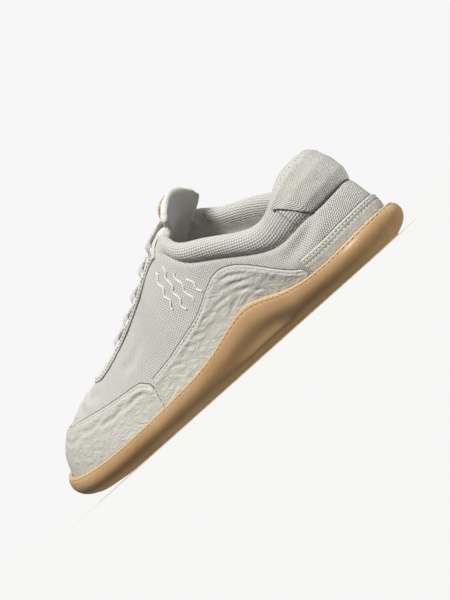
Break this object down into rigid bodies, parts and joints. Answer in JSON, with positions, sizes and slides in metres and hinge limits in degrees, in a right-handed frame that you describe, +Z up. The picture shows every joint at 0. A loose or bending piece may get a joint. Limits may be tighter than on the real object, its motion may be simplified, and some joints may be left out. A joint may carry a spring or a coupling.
{
  "type": "barefoot shoe",
  "caption": "Low left barefoot trainer with a gum cup sole that rises in a wave, padded collar, canvas upper, leather overlays, tongue and flat laces.",
  "frame": {"origin": "middle of the shoe's box, on the floor", "axes": "+Y to the toe, +Z up, +X to the inner side of the foot"},
  "size_m": [0.1022, 0.29, 0.0993],
  "materials": {
    "gum_rubber": "satin natural gum rubber",
    "footbed": "matt fabric over thin foam",
    "canvas": "matt off-white canvas, ribbed knit on the collar",
    "crinkled_leather": "crinkled off-white leather",
    "smooth_leather": "smooth off-white leather",
    "smooth_knit": "fine knit",
    "canvas_strip": "fine canvas",
    "tongue_canvas": "padded canvas",
    "label_leather": "plain tan leather",
    "lace": "flat woven lace"
  },
  "bodies": {
    "root": {"outsole": "gum_rubber", "insole": "footbed", "upper": "canvas", "saddle_outer": "crinkled_leather", "saddle_inner": "crinkled_leather", "toe_overlay": "crinkled_leather", "heel_foxing": "smooth_leather", "heel_tab": "smooth_knit", "eyestay": "canvas_strip", "tongue": "tongue_canvas", "tongue_label": "label_leather", "lace_bar_1": "lace", "lace_bar_2": "lace", "lace_bar_3": "lace", "lace_bar_4": "lace", "lace_bar_5": "lace"}
  },
  "joints": []
}
